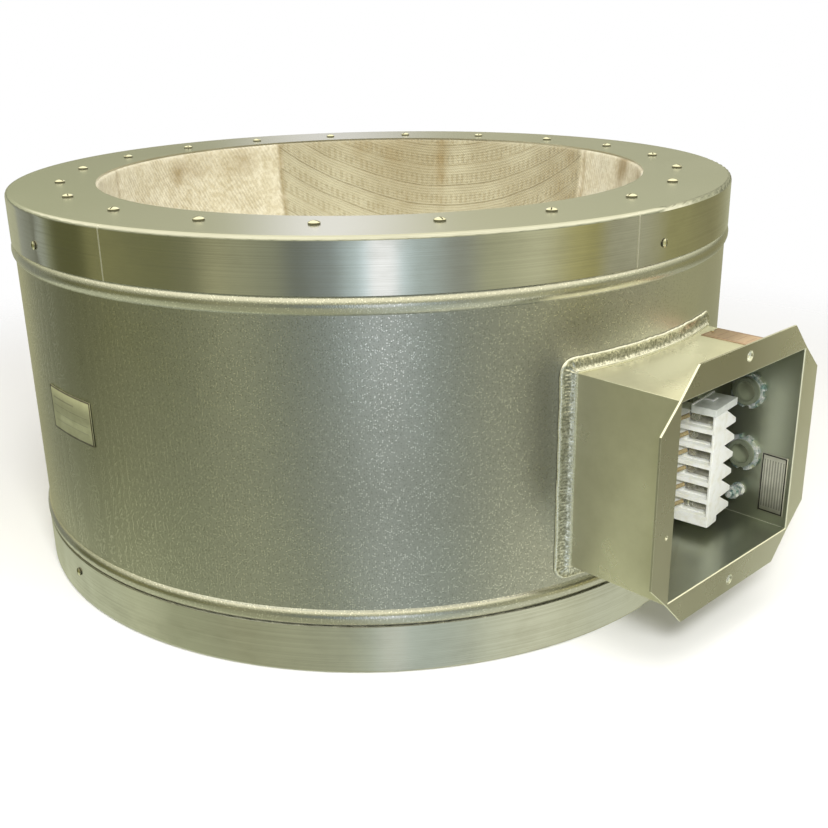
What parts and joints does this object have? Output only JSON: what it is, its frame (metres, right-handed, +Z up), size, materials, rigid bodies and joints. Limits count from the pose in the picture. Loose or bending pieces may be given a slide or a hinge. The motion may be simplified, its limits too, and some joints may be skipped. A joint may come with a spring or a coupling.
{
  "type": "heating mantle",
  "caption": "Round aluminium-cased heating mantle with a woven glass-fibre well for a large round flask, and an open welded terminal box with a terminal block on its side.",
  "frame": {"origin": "on the drum's axis, at the underside of the base pan", "axes": "+Z up along the drum's axis; the terminal box faces -Y; the conduit hubs leave the box along +X"},
  "size_m": [0.6116, 0.6846, 0.318],
  "materials": {
    "shell_sheet": "mill finish with a fine stippled skin",
    "cover_sheet": "brushed round the drum",
    "box_sheet": "satin",
    "weld_metal": "rippled weld",
    "screw_steel": "bright",
    "glass_cloth": "woven glass fibre",
    "heater_cord": "braided glass over resistance wire",
    "glass_wool": "felted",
    "ring_sheet": "mill finish",
    "zinc": "bright zinc plate",
    "white_nylon": "moulded, slightly glossy",
    "nickel": "nickel plate",
    "rail_steel": "zinc plate",
    "lead_sleeve": "varnished glass sleeve",
    "bushing_ceramic": "glazed",
    "plate_silver": "satin with a dark border",
    "plate_red": "satin, reddish brown"
  },
  "bodies": {
    "root": {"housing_shell": "shell_sheet", "top_cover": "cover_sheet", "base_pan": "cover_sheet", "top_cover_screws": "screw_steel", "top_skirt_screws": "screw_steel", "base_skirt_screws": "screw_steel", "fabric_well": "glass_cloth", "top_clamp_ring": "ring_sheet", "heater_zone_lower": "heater_cord", "heater_zone_middle": "heater_cord", "heater_zone_upper": "heater_cord", "insulation_side": "glass_wool", "insulation_base": "glass_wool", "terminal_box": "box_sheet", "box_weld": "weld_metal", "conduit_hub_upper": "zinc", "conduit_hub_lower": "zinc", "conduit_locknut_upper": "zinc", "conduit_locknut_lower": "zinc", "ground_stud": "zinc", "ground_washers": "zinc", "ground_nuts": "zinc", "terminal_end_plate": "white_nylon", "terminal_end_stop": "white_nylon", "terminal_clamps": "nickel", "terminal_screws": "nickel", "terminal_rail": "rail_steel", "rail_spacers": "rail_steel", "rail_screws": "rail_steel", "lead_bushing": "bushing_ceramic", "drum_nameplate": "plate_silver", "inner_label": "plate_silver", "box_top_label": "plate_red", "label_rivet": "screw_steel", "spring_nut_top": "zinc", "spring_nut_bottom": "zinc", "terminal_section_1": "white_nylon", "lead_wire_1": "lead_sleeve", "terminal_section_2": "white_nylon", "lead_wire_2": "lead_sleeve", "terminal_section_3": "white_nylon", "lead_wire_3": "lead_sleeve", "terminal_section_4": "white_nylon", "lead_wire_4": "lead_sleeve", "terminal_section_5": "white_nylon", "lead_wire_5": "lead_sleeve", "terminal_section_6": "white_nylon", "lead_wire_6": "lead_sleeve"}
  },
  "joints": []
}
